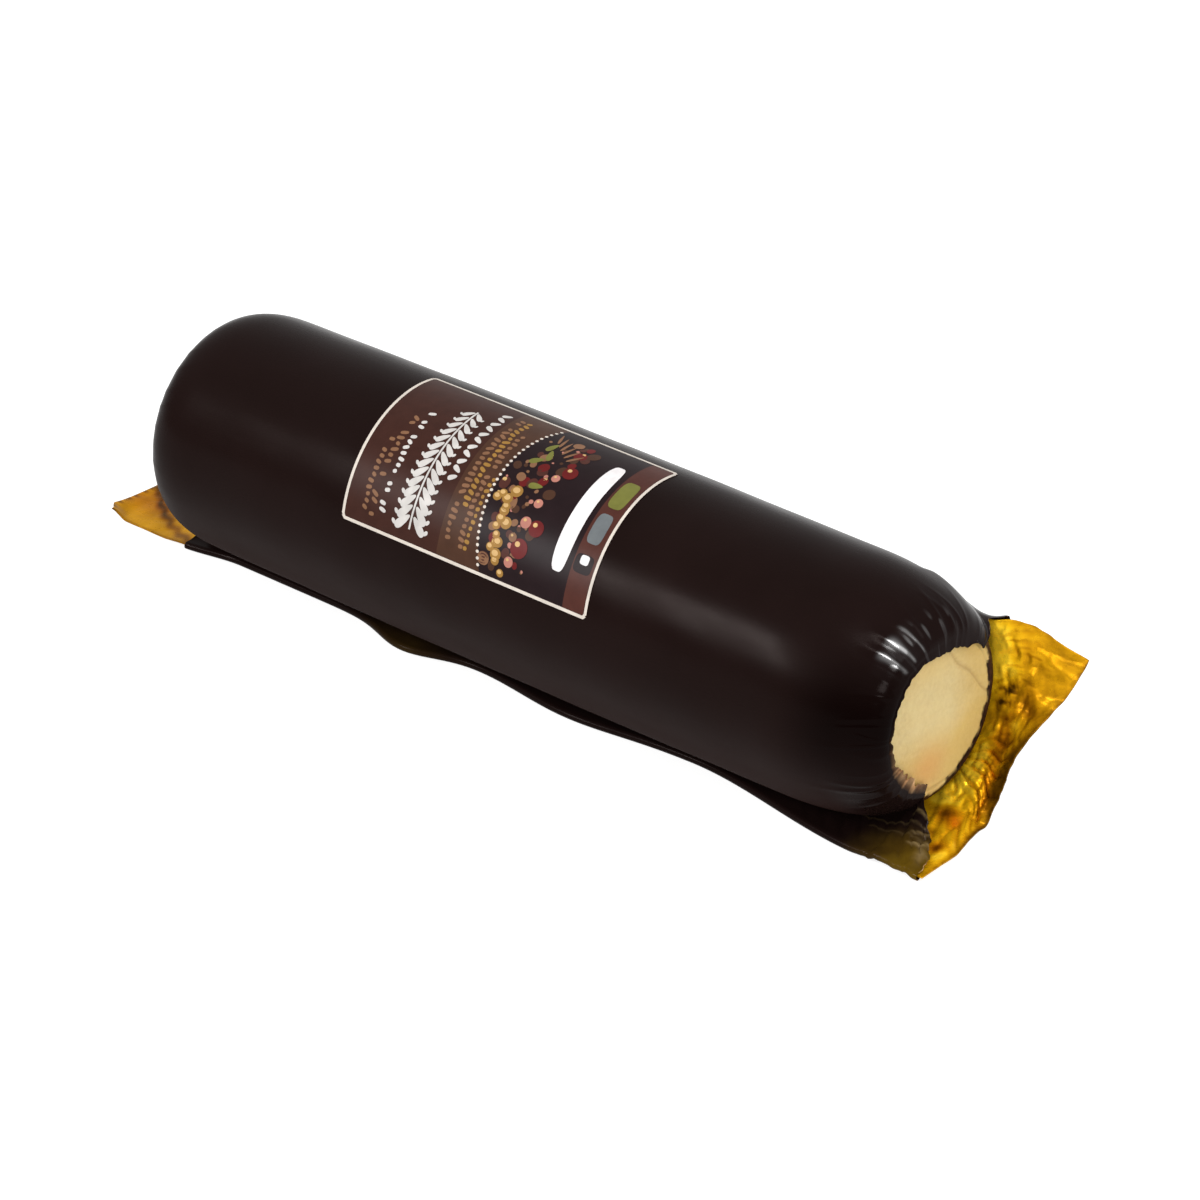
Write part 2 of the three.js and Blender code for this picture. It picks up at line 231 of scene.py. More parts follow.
def log_grid():
    """The log's rings from face to face, the radius of each and the angle of each column."""
    stations = log_stations(16, 30, 30)
    face = linspace(0.02, 0.985, 40)
    count = len(face)
    x = concatenate([np.full(count, -HALF), stations, np.full(count, HALF)])
    x[count], x[-count - 1] = -HALF + RIM_WEAR, HALF - RIM_WEAR
    inward = concatenate([np.ones(count), np.zeros(len(stations)), -np.ones(count)])
    r = concatenate([face * FACE_RADIUS, log_radius(stations), face[::-1] * FACE_RADIUS])
    x, inward, r = x[:, None], inward[:, None], r[:, None]
    angle = linspace(0, 2 * pi, 224, endpoint=False)
    wave = 0.12 * sin(3 * angle + 0.7) + 0.08 * sin(7 * angle + 2)
    y, z = on_circle(0, AXIS_Z, r - abs(wave) * smooth(r, 10, 20), angle)
    x = x + inward * np.maximum(cut_mark(y, z - AXIS_Z), 0)
    return np.stack([x, y, z], axis=-1), r, angle


def log_looks(y, up, r, angle):
    """The strength of the rind and painted gap shadow, the edge tint, the knife mark's painted shade and
    the reddish patch.
    """
    bare = smooth(angle, radians(2), radians(20)) * (1 - smooth(angle, 1.7, 2.2))
    crinkle = 0.25 * sin(31 * angle) + 0.2 * sin(53 * angle + 2)
    crinkle = crinkle + bare * (0.4 * sin(11 * angle + 1) + 0.3 * sin(19 * angle + 4))
    # A tint, darker and warmer towards the face's bottom, back and top.
    edge_tint = 0.9 * smooth(-up, 0, 13) + 0.8 * smooth(y, 3, 17) + 0.5 * smooth(up, 8, 17)
    return {
        # The smoked rind's colour, and painted shadow of the gap where it reaches farther in on the bare
        # rim.
        "rind_and_gap_shade": smooth(r + (crinkle + RIND_OVER * bare), RIND_FROM, RIND_FROM + 0.6),
        "edge_tint": clip(edge_tint, 0, 1.2),
        # Painted shade in the knife mark's groove, following its depth.
        "cut": smooth(cut_mark(y, up), 0.1, CUT_DEPTH),
        "blush": exp(-((y + 4) / 7) ** 2 - ((up + 14) / 6) ** 2),
    }


def make_log():
    """The cheese, slightly uneven, with flat cut ends and soft rims."""
    grid, r, angle = log_grid()
    points = concatenate([grid.reshape(-1, 3), [[-HALF, 0, AXIS_Z], [HALF, 0, AXIS_Z]]])
    index = np.arange(grid.size // 3).reshape(grid.shape[:2])
    after = np.roll(index, -1, axis=1)
    quads = faces_of(index[:-1], index[1:], after[1:], after[:-1])
    left, right = index.size, index.size + 1
    caps = [*faces_of(left, index[0], after[0]), *faces_of(right, after[-1], index[-1])]
    looks = log_looks(grid[..., 1], grid[..., 2] - AXIS_Z, r, angle)
    return new_object("cheese_log", points, quads, cheese_material(), caps, looks)


# ---- The card ----

def tight(radius):
    """The bend of a card that lies close round a log of this radius."""
    return [(CARD_FLAT, 100.0, 100 / radians(radius))]


# Each bend of the card is its start, its length and its turn in degrees.
WRAPPED = tight(33)
NECK = tight(31.5)
STEP_DOWN = [(-13, 3, -5.7), (-5, 3, 5.7)]
RIGHT_FLAP = [(10.5, 3.5, 58), (22, 18, -26), (50, 8, 16)]
LEFT_FLAP = [(2, 62, 62)]
CURL_ANGLE, CURL_FLAT_BY, CURL_LIFT, CURL_REACH = -13, 16, 2.2, 6
CRUMPLED_END, CRUMPLED_MIDDLE = 0.055, 0.038


def turned(bends, s):
    return sum(radians(turn) * clip((s - start) / length, 0, 1) for start, length, turn in bends)


def front_edge(x):
    """How far the card reaches in front of the log's axis: two bulges, and more at both ends."""
    waves = 6 * bump(x, -42, 14) + 4.2 * bump(x, 16, 24)
    return CARD_FRONT + waves + 8 * smooth(x, 56, 118) + 3 * smooth(-x, 108, 130)


def card_table(x, count):
    """The card's middle line at each x, as arrays of y and z."""
    x = x[:, None]
    past, beyond = x - HALF, -x - HALF
    right = clip((past + OPENS_BEFORE) / (RIGHT_REACH + OPENS_BEFORE), 0, 1) ** 1.4
    free = clip((past - 0.5) / (RIGHT_REACH - 0.5), 0, 1)
    left = smooth(beyond, 2, LEFT_REACH)
    neck = (bump(past, -6, 9) + bump(beyond, 0, 5)) * (1 - right) * (1 - left)
    curl = smooth(beyond, LEFT_REACH - CURL_REACH, LEFT_REACH)
    plain = 1 - right - left - neck
    start = -front_edge(x)
    crumpled = CRUMPLED_END * right + CRUMPLED_MIDDLE * sin(pi * right)
    reach = CARD_BACK * (1 - crumpled) + NECK_RISE * bump(past, -2, 7)
    step = (reach - start) / count
    s = start + step * (np.arange(count) + 0.5)
    flat = 1 - smooth(s, start, start + CURL_FLAT_BY)
    angle = plain * turned(WRAPPED, s) + neck * turned(NECK, s)
    angle = angle + right * turned(RIGHT_FLAP, s) + left * turned(LEFT_FLAP, s)
    angle = angle + free * turned(STEP_DOWN, s) + curl * radians(CURL_ANGLE) * flat
    first_z = CARD_Z - (CARD_Z - CARD / 2) * smooth(beyond, 1, 12) + CURL_LIFT * curl
    y = start + np.cumsum(cos(angle) * step, axis=1)
    z = first_z + np.cumsum(sin(angle) * step, axis=1)
    return np.hstack([start, y]), np.hstack([first_z, z])


# Folds of the foil, each the length and the height of a wave.
CREASES = [(16, 1.1), (11, 0.9), (8, 0.7), (6, 0.5), (4.5, 0.38), (3.2, 0.26)]
PINCHES = [(3.6, 0.9), (2.4, 0.6)]
# Folds that place painted shade in the right end's crinkles and along its edge.
SHADE_FOLDS = [(3.7, 0.6), (2.3, 0.5), (1.5, 0.4)]
# Folds used only for the painted light and shade of fine crinkles.
FINE_FOLDS = [(5.1, 0.5), (2.9, 0.4), (1.3, 0.3)]


def folds(x, s, seed, waves):
    """Crossing folds with straight flanks, as foil creases."""
    random = np.random.default_rng(seed)
    height = 0
    for length, tall in waves:
        heading, phase, bend = random.uniform(0, pi), random.uniform(0, 1), random.uniform(1, 3)
        warp = 0.35 * length * sin((x * sin(heading + 1) + s * cos(heading)) / length * bend)
        place = (x * cos(heading) + s * sin(heading) + warp) / length + phase
        height = height + tall * (2 * abs(place - np.floor(place) - 0.5) - 0.5)
    return height


FAN_BEFORE, FAN_ACROSS = 16, 26  # where the right end's creases spread from: before the face, across


def card_relief(x, s):
    """The foil's relief: creases that fan out from the neck, and crumples between them."""
    past, beyond = x - HALF, -x - HALF
    right = smooth(past, -15, -2) * (1 - 0.5 * smooth(past, 8, 12))
    left = smooth(beyond, -4, 8)
    free = np.maximum(right, 0.7 * left)
    lying = smooth(s, 4, 18)
    swell = sin(s * 0.62 + x * 0.11) + 0.6 * sin(s * 1.13 - x * 0.23 + 1.7)
    neck = np.maximum(bump(s, 20, 20), 0.3 - 0.16 * smooth(s, 46, 54))
    fan = np.arctan2(s - FAN_ACROSS, past + FAN_BEFORE)
    wander = 0.5 * sin(x * 0.55 + s * 0.2) + 1.2 * sin(fan * 3)
    radial = abs(sin(fan * 11 + wander)) + 0.5 * abs(sin(fan * 23 + 2 * wander)) - 0.8
    streaks = abs(sin(fan * 13 + 2 * wander)) + 0.5 * abs(sin(fan * 29 + 3 * wander + 1))
    front = 0.75 * right * (1 - lying) * streaks
    pinch = 0.6 * right * bump(past, -4, 7) * folds(x, s, 9, PINCHES)
    crease_shading = neck * (0.8 * folds(x, s, 5, CREASES) + 1.1 * right * radial) + pinch
    return free * (0.25 * lying * swell + np.maximum(0.25, lying) * crease_shading + front)


TABLE_X = linspace(-HALF - LEFT_REACH, HALF + RIGHT_REACH, 700)
TABLE_COUNT = 300


def relief_table():
    """The card's middle line with its relief, one row for each place along the log."""
    y, z = card_table(TABLE_X, TABLE_COUNT)
    dy, dz = np.gradient(y, axis=1), np.gradient(z, axis=1)
    length = np.hypot(dy, dz)
    s = mix(-front_edge(TABLE_X)[:, None], CARD_BACK, linspace(0, 1, TABLE_COUNT + 1))
    relief = card_relief(TABLE_X[:, None], s)
    return y - dz / length * relief, z + dy / length * relief


TABLE_Y, TABLE_Z = relief_table()


def card_at(x, across):
    """The card's middle line at x and at a share of its width from the front edge."""
    i = clip((x - TABLE_X[0]) / (TABLE_X[1] - TABLE_X[0]), 0, len(TABLE_X) - 1.001)
    j = clip(across * TABLE_COUNT, 0, TABLE_COUNT - 0.001)
    i0, j0 = i.astype(int), j.astype(int)
    u, v = i - i0, j - j0
    found = []
    for table in (TABLE_Y, TABLE_Z):
        low, high = (mix(table[row, j0], table[row, j0 + 1], v) for row in (i0, i0 + 1))
        found.append(mix(low, high, u))
    return found


# Spots of the foil's painted light, painted shade and warmth: place past the right face and across, reach
# each way, and strength.
PAINTED_LIGHT_SPOTS = [(-7.5, 56, 3.5, 11, 0.9), (-3, 50, 2.5, 3, 0.3), (2.5, 39, 2, 3, 0.3), (-4, 22, 2.5, 10, 0.8),
          (-8, 12, 2, 2.2, 0.9), (-6.5, 18, 1.6, 2, 0.6), (1, 16, 3, 4, 0.3), (9.3, -8.5, 1.5, 3, 0.4)]
PAINTED_SHADE_SPOTS = [(2.5, 33, 2.5, 4, 0.45), (1.4, 51.5, 1.6, 2, 0.4), (-2.6, 7.8, 2.6, 3.2, 0.75),
        (6.4, -6.2, 1.7, 2.6, 0.85), (0.5, -1.5, 1.6, 2.4, 0.5), (9.5, 24, 3.5, 9, 0.9),
        (11.5, 35, 2.5, 8, 0.8), (9, 62, 6, 7, 0.36), (4, 45, 3, 3, 0.2), (11.8, 6, 1.1, 9, 0.5),
        (-2.8, 47.5, 1.4, 1.6, 0.6), (-5, 42.5, 1.3, 1.6, 0.65), (7.1, 42.5, 0.8, 3.2, 0.5),
        (-5.5, 46, 1, 0.8, 0.6)]
WARM = [(2.2, 7, 3, 3, 1.0), (6.5, 18, 3, 5, 0.6), (-2, 8, 3, 3, 0.5), (6, -6.2, 2.5, 4, 0.7),
        (0, 34, 4, 9, 0.6), (3, 24, 3, 5, 0.6), (4, 47, 4, 5, 0.3), (-1, 61, 4, 4, 0.15)]

PLAIN_TONE = 0.54
SHADED_LEFT = 0.13  # how much darker the left flap is
DARKEST = 0.92


def spots(x, s, listed):
    return sum(share * bump(x - HALF, u, wide) * bump(s, v, tall) for u, v, wide, tall, share in listed)


def left_flap(x, s):
    """The left flap's painted shade, along the film and at its tip and lower edge, and its warmth."""
    beyond = -x - HALF
    here = smooth(beyond, -2, 2)
    film_edge = -13.9 + 0.25 * beyond + 0.0105 * beyond**2 - 0.5 * sin(1.1 * beyond)
    # Painted shade along the film's edge, which also warms the foil there.
    border = here * bump(s, film_edge, 1.7) * (0.75 + 0.25 * smooth(beyond, 10, 18))
    patchy = clip(0.4 + sin(s * 1.9 + 1) + 0.7 * sin(s * 3.1), 0, 1)
    # Painted shade along the flap's end and its lower edge.
    tip_and_edge_shade = here * bump(beyond, 33.5, 1.4) * patchy + 0.7 * here * bump(s, -15.8, 0.9)
    orange = here * bump(s, -3, 6) * smooth(beyond, 14, 24)
    return 0.9 * border + 0.8 * tip_and_edge_shade, clip(0.5 * orange + 0.5 * border, 0, 1)


def right_end_shade(x, s):
    """Painted shade in the right end's crinkles, painted shadow of the gap under the log, and painted
    shade at the edge.
    """
    past = x - HALF
    shade_fold_pattern = smooth(folds(x, s, 21, SHADE_FOLDS), -0.15, 0.5)
    crinkle_shade = 1.2 * bump(s, 45, 4.5) * bump(past, -4, 3.6) * shade_fold_pattern
    # Painted shadow in the gap beside the face.
    gap = bump(past, -10.5, 1.6) * smooth(s, 10, 15) * (1 - smooth(s, 46, 51))
    # Painted shade along the flap's outer edge.
    edge = bump(past, RIGHT_REACH, 0.8) * (0.3 + 0.3 * shade_fold_pattern)
    return 0.7 * crinkle_shade + 0.7 * gap + edge


def card_looks(x, s):
    """The foil's painted shading, from 0 where painted shade makes it darkest to 1 where painted light
    makes it brightest, and its warmth.
    """
    flap_dark, flap_warm = left_flap(x, s)
    # Painted shade from the left flap, the spots and the right end.
    dark = clip(flap_dark + spots(x, s, PAINTED_SHADE_SPOTS) + right_end_shade(x, s), 0, DARKEST)
    # Painted shade in the relief's hollows and painted highlight on its ridges.
    crease_shading = 0.2 * clip(card_relief(x, s) / 0.7, -1, 1)
    # Near the right end, painted light and shade of fine crinkles that the relief lacks.
    crinkle_shading_zone = smooth(x - HALF, -16, -2) * (0.4 + 0.6 * bump(s, 18, 26))
    fine = 0.3 * crinkle_shading_zone * (folds(x, s, 33, FINE_FOLDS) - 0.1)
    shaded = SHADED_LEFT * smooth(-x - HALF, 0, 8)
    painted_shading = PLAIN_TONE - shaded + spots(x, s, PAINTED_LIGHT_SPOTS) + crease_shading + fine
    return {
        "painted_shading": clip(painted_shading * (1 - dark), 0, 1),
        "warm": clip(flap_warm + spots(x, s, WARM), 0, 1),
    }


def make_card():
    x = concatenate([
        linspace(-HALF - LEFT_REACH, -HALF + 6, 110, endpoint=False),
        linspace(-HALF + 6, HALF - 20, 60, endpoint=False),
        linspace(HALF - 20, HALF + RIGHT_REACH, 120),
    ])
    x, across = np.meshgrid(x, linspace(0, 1, 260), indexing="ij")
    y, z = card_at(x, across)
    start = -front_edge(x)
    s = mix(start, CARD_BACK, across)
    waist, notch = (depth * bump(s, place, width) for depth, place, width in (WAIST, NOTCH))
    corner = CORNER_CUT * (1 - smooth(s, start, start + CORNER_REACH))
    left_end, right_end = smooth(-x - HALF, 0, LEFT_REACH), smooth(x - HALF, 0, RIGHT_REACH)
    inward = left_end * (waist + corner) - right_end * (waist + notch)
    grid = np.stack([x + inward, y, z], axis=-1)
    points, quads = sheet(grid, -CARD_THICKNESS / 2, CARD_THICKNESS / 2, False)
    points[:, 2] = np.maximum(points[:, 2], 0.02)
    return new_object("gold_card", points, quads, gold_material(), looks=card_looks(x, s))


# ---- The film ----

# The film's columns run once round the pack, each at a share of its segment: from the card's front
# edge to the log, over it, to the card's back edge, round that, along the card's outside and round
# its front edge.
SEGMENTS = {
    "web": linspace(0, 1, 44)[1:-1],
    "over": linspace(0, 1, 428),
    "span": linspace(0, 1, 14)[1:-1],
    "back_wrap": linspace(0, 1, 8),
    "outside": linspace(0.999, 0, 100),
    "front_wrap": linspace(0, 1, 10),
}
KIND = {name: number for number, name in enumerate(SEGMENTS)}
LIPS = np.array([0.2, 0.45, 0.7, 0.88, 1.0])  # shares of the lip, a row of the film at each


def pick(kind, values):
    """At each point the value of its own segment, or 0 where that one isn't named."""
    return np.select([kind == KIND[name] for name in values], list(values.values()), 0.0)


def tangent_angle(radius, other_y, other_z, other_radius):
    """Where a straight line that touches the backs of the log and a second disc leaves both."""
    dz = other_z - AXIS_Z
    reach = np.arccos(clip((radius - other_radius) / np.hypot(other_y, dz), -1, 1))
    return np.arctan2(other_y, -dz) + reach


def film_station(log_x):
    """The film's place and radius over a place on the log, one gap off its surface."""
    small = 0.01
    side = np.sign(log_x)
    fall = (log_radius(log_x - side * small) - log_radius(log_x)) / small
    share = 1 / np.hypot(1, fall)
    return log_x + side * GAP * fall * share, log_radius(log_x) + GAP * share


# How far the film covers each cut face, at angles in degrees round the face.
COVER_ANGLES = (-180, -150, -125, -100, -75, -50, -20, 5, 35, 65, 90, 125, 150, 180)
COVER = (3.2, 1.0, 0.8, 0.9, 1.6, 3.6, 2.6, 1.3, -0.4, 1.3, -0.2, -0.9, 2.4, 3.2)


def lip_cover(angle):
    """How far the lip covers the cut face, with small uneven scallops."""
    degrees = np.degrees(wrapped(angle))
    wide = np.interp(degrees, COVER_ANGLES, COVER)
    ragged = 1 + 2.2 * bump(degrees, -48, 22)
    scallops = 0.16 * sin(17 * angle + 1) + 0.12 * sin(29 * angle + 2.5) + 0.1 * sin(47 * angle)
    return wide + ragged * scallops


def pleat_set(seed, count, length, height, width):
    """Pleats round an open end: angle, length, height, width and lean of each."""
    random = np.random.default_rng(seed)
    base = linspace(-pi, pi, count, endpoint=False)
    return [
        (a + random.uniform(-0.07, 0.07), random.uniform(*length), random.uniform(*height),
         random.uniform(*width), random.uniform(-0.012, 0.012))
        for a in base
    ]


PLEATS = {
    "right": pleat_set(11, 48, (8, 22), (0.15, 0.6), (0.45, 1.0)),
    "left": pleat_set(12, 36, (5, 12), (0.05, 0.22), (0.5, 1.2)),
}
PLEAT_RADIUS = 24  # where a pleat's width is measured

# Shining gathers beside the top of the right opening: the angle, the height, the shine's half
# width at its start and at the lip, and the gloss of each, with the angles and widths in degrees.
GATHERS = ((-161, 0.3, 0.8, 0.5, 0.8), (-151.5, 0.42, 2.3, 0.8, 1.0), (-142, 0.36, 1.7, 0.9, 0.7))


def pleat(x, angle):
    """Height of the pleats and gathers, which rise towards the lip."""
    height, past, from_face = np.zeros_like(x), x - HALF, HALF - abs(x)
    for end, side in (("left", x < 0), ("right", x >= 0)):
        for middle, length, tall, width, lean in PLEATS[end]:
            grown = clip(1 - from_face / length, 0, 1) ** 1.4
            away = wrapped(angle - middle - lean * from_face) * PLEAT_RADIUS
            height += side * tall * grown * exp(-abs(away / width) ** 1.5)
    calm = bump(np.degrees(wrapped(angle)), -152, 13) * smooth(past, -16, -8)
    height = height * (1 - 0.7 * calm)
    for middle, tall, _, _, _ in GATHERS:
        away = np.degrees(wrapped(angle - radians(middle)))
        height += tall * smooth(past, -13, -5) * bump(away, 0, 3)
    return height


FOLD_PLACE, FOLD_ANGLE, FOLD_HEIGHT = 106.0, radians(139), 1.3


def large_fold(x, angle):
    """A fold of spare film that starts abruptly on the right shoulder and runs to the end."""
    grown = smooth(x, FOLD_PLACE - 2, FOLD_PLACE + 1.5) * (1 - smooth(x, FOLD_PLACE + 1.5, HALF - 3))
    away = wrapped(angle - FOLD_ANGLE - 0.004 * (x - FOLD_PLACE))
    return FOLD_HEIGHT * grown * exp(-abs(away / radians(7)) ** 1.6)


def unevenness(x, angle):
    """Slow swelling of the shrunk film."""
    swelling = 0.05 * sin(x * 0.09 + 2 * angle) + 0.04 * sin(x * 0.21 - 3 * angle + 1)
    return swelling + 0.03 * sin(x * 0.033 + 5 * angle + 2)


def web_folds(x, t):
    """Creases of the film where it drops from the log's right end to the card."""
    near = smooth(x - HALF, -46, -12)
    fan = x * 0.9 + t * 9
    ridges = abs(sin(fan * 0.55 + sin(t * 5) + 0.6))
    ridges = ridges + 0.6 * abs(sin(fan * 1.27 - 2.2 * t + 2))
    return near * sin(pi * t) * (0.75 * ridges - 0.55)


# Sharp creases of the web: each its start past the face, its t there, its slope and strength.
CRESTS = ((1.5, 0.36, 0.012, 0.8), (0, 0.52, 0.01, 0.5), (-1.5, 0.84, -0.012, 0.6),
          (-17, 0.78, -0.006, 0.2), (-13, 0.55, -0.004, 0.15))
CREST_HEIGHT = 0.6


def web_crests(x, t):
    """How near each point of the web is to the top of a sharp crease, from 0 to 1."""
    height = 0
    for start, place, slope, strength in CRESTS:
        along = x - HALF - start
        height = height + strength * smooth(along, 0, 2) * bump(t, place + slope * along, 0.015)
    return height


def web_points(x, t, radius, front):
    """The web: from the card's front edge along it, then up to the log."""
    touch = on_circle(0, AXIS_Z, radius, LEAVE_FRONT)
    edge = on_circle(*front, RIM, LAND_FRONT)
    valley = (front[0] + VALLEY, front[1] + RIM)
    y, z = ((1 - t) ** 2 * edge[k] + 2 * t * (1 - t) * valley[k] + t * t * touch[k] for k in (0, 1))
    return y, z + web_folds(x, t) + CREST_HEIGHT * web_crests(x, t)


def over_points(x, t, radius, leave, lip):
    """The film over the log, with its pleats and its lip drawn in over the cut face."""
    angle = mix(LEAVE_FRONT + 2 * pi, leave, t)
    ends = sin(pi * t) ** 0.3
    proud = (pleat(x, angle) + large_fold(x, angle) + unevenness(x, angle)) * ends
    cover = lip * lip_cover(angle) * (1 - smooth(t, 0.97, 1))
    return on_circle(0, AXIS_Z, radius + proud - cover, angle)


def outside_points(x, t):
    y, z = card_at(x, t)
    next_y, next_z = card_at(x, t + 0.004)
    length = np.maximum(np.hypot(next_y - y, next_z - z), 1e-9)
    return y + RIM * (next_z - z) / length, z - RIM * (next_y - y) / length


def film_points(log_x, kind, t, lip):
    """The film's inner face: x, y and z at places along the log and columns."""
    x, radius = film_station(log_x)
    front, before, back = (card_at(x, across) for across in (0.0, 0.985, 1.0))
    back_facing = np.arctan2(back[1] - before[1], back[0] - before[0])
    back_tangent = tangent_angle(radius, *back, RIM)
    sunk = smooth(x - HALF, -22, -4)
    leave, land = mix(back_tangent, LEAVE_BACK, sunk), mix(back_tangent, LAND_BACK, sunk)
    last, first = on_circle(0, AXIS_Z, radius, leave), on_circle(*back, RIM, land)
    points = {
        "web": web_points(x, t, radius, front),
        "over": over_points(x, t, radius, leave, lip),
        "span": [mix(last[k], first[k], t) for k in (0, 1)],
        "back_wrap": on_circle(*back, RIM, mix(land, back_facing, t)),
        "outside": outside_points(x, t),
        "front_wrap": on_circle(*front, RIM, mix(UNDER_FRONT, LAND_FRONT, t)),
    }
    y, z = (pick(kind, {name: both[k] for name, both in points.items()}) for k in (0, 1))
    return x, y, z


def film_slide(kind, t):
    """How far each column of the film slides along X at the right end."""
    return pick(kind, {
        "web": SLIDE_FRONT * (1 - t**2) ** 1.2,
        "span": SLIDE_BACK * smooth(t, 0, 0.3),
        "back_wrap": SLIDE_BACK,
        "outside": SLIDE_BACK * smooth(t, 0.7, 1) + SLIDE_FRONT * (1 - smooth(t, 0, 0.12)),
        "front_wrap": SLIDE_FRONT,
    })


BULGE_PLACE, BULGE_REACH, BULGE_TINT = -42.0, 15.0, 0.15  # gold seen faintly through the front edge


def film_gloss(x, around):
    """Gloss of the film over the log, at angles in degrees: strokes on the gathers, and flecks."""
    past = x - HALF
    spot = smooth(past, -7, -4.8) * (1 - smooth(past, -0.3, 0.2))
    near_lip = smooth(past, -6, 0)
    strokes = 0.03 * bump(around, -151, 13)
    for middle, _, start, end, gloss in GATHERS:
        strokes = strokes + gloss * bump(around, middle, mix(start, end, near_lip))
    angle = radians(around)
    flecks = smooth(sin(31 * angle + 0.5 * x) + sin(53 * angle - 0.8 * x + 1), 1.0, 1.7)
    flecks = 0.35 * flecks * bump(past, -2.2, 2.2) * bump(np.mod(around, 360), 188, 20)
    return spot * strokes + flecks


def film_looks(row_x, log_x, x, kind, t, lip):
    """How strong each of the film's looks is at each point, from 0 to about 1."""
    around = np.degrees(wrapped(mix(LEAVE_FRONT + 2 * pi, LEAVE_BACK, t)))
    past = x - HALF
    near_end = smooth(past, -16, -5)
    on_card = pick(kind, {"web": 1 - smooth(t, 0.2, 0.7), "front_wrap": 1.0})
    bulge = BULGE_TINT * bump(x, BULGE_PLACE, BULGE_REACH)
    ridged = 0.5 + 0.5 * smooth(pleat(log_x, radians(around)), 0.1, 0.45)
    # Painted highlight on the rolled edge at the film's right end.
    rolled_edge_highlight = 0.8 * bump(HALF - row_x, 2.2, 1.1) * bump(t, 0.3, 0.13)
    return {
        "over_gold": on_card * (smooth(past, -16, 12) + bulge),
        "over_face": lip * smooth(x, 0, 60) * bump(around, -46, 30) * ridged,
        "gathered": near_end,
        # The film's lower front, rougher and with a painted sheen of the floor.
        "dull_and_sheen": pick(kind, {"over": bump(around, -36, 34) * (1 - near_end)}),
        "glossy": pick(kind, {"over": film_gloss(x, around)}),
        # Painted highlight on the web's sharp crests and the rolled edge.
        "crest_highlight": pick(kind, {"web": clip(web_crests(log_x, t) + rolled_edge_highlight, 0, 1)}),
        # Painted shade on the front of the right shoulder.
        "front_shade": pick(kind, {"over": 0.9 * smooth(past, -30, -10) * bump(around, -103, 32)}),
    }


def make_film():
    stations = log_stations(26, 106, 72)
    rows_x = concatenate([np.full(len(LIPS), -HALF), stations, np.full(len(LIPS), HALF)])
    rows_lip = concatenate([LIPS[::-1], np.zeros(len(stations)), LIPS])
    columns = np.repeat(list(KIND.values()), [len(shares) for shares in SEGMENTS.values()])
    row_x, kind = np.meshgrid(rows_x, columns, indexing="ij")
    lip, t = np.meshgrid(rows_lip, concatenate(list(SEGMENTS.values())), indexing="ij")
    log_x = row_x + film_slide(kind, t) * smooth(row_x, HALF - SHOULDER["right"], HALF)
    x, y, z = film_points(log_x, kind, t, lip)
    torn = (0.4 * sin(26 * t) + 0.25 * sin(61 * t + 1)) * sin(pi * t)
    torn = pick(kind, {"web": torn * smooth(log_x - HALF, -4, 2)})
    x = x + np.sign(row_x) * LIP_RISE * lip + torn
    points, quads = sheet(np.stack([x, y, z], axis=-1), FILM - FILM_THICKNESS, FILM, True)
    looks = film_looks(row_x, log_x, x, kind, t, lip)
    return new_object("film_sleeve", points, quads, film_material(), looks=looks)


# ---- The label ----

LABEL_WIDTH = (LABEL_ANGLES[1] - LABEL_ANGLES[0]) * (LOG_RADIUS + GAP + FILM)


def label_point(a, b, height):
    """A point of the label: a along it from its left end, b round it from its near edge."""
    angle = mix(LABEL_ANGLES[0], LABEL_ANGLES[1], b / LABEL_WIDTH)
    drift = LABEL_SKEW * (angle - sum(LABEL_ANGLES) / 2)
    x = LABEL_OFFSET + drift + a - LABEL_LENGTH / 2
    radius = log_radius(x) + GAP + FILM + height
    y, z = on_circle(0, AXIS_Z, radius, -angle)
    return np.stack([x, y, z], axis=-1)


def label_reach(b):
    """Half the label's length at b, with its corners rounded."""
    cut = clip(LABEL_CORNER - np.minimum(b, LABEL_WIDTH - b), 0, LABEL_CORNER)
    return LABEL_LENGTH / 2 - (LABEL_CORNER - np.sqrt(LABEL_CORNER**2 - cut**2))


def make_label():
    b = linspace(LABEL_WIDTH, 0, 90)[:, None]
    a = LABEL_LENGTH / 2 + label_reach(b) * linspace(-1, 1, 120)
    grid = label_point(a, b, LABEL_LIFT)
    points, quads = sheet(grid, 0, LABEL_THICKNESS, False)
    return new_object("label_film", points, quads, print_material("label_ground", srgb(51, 28, 22)))


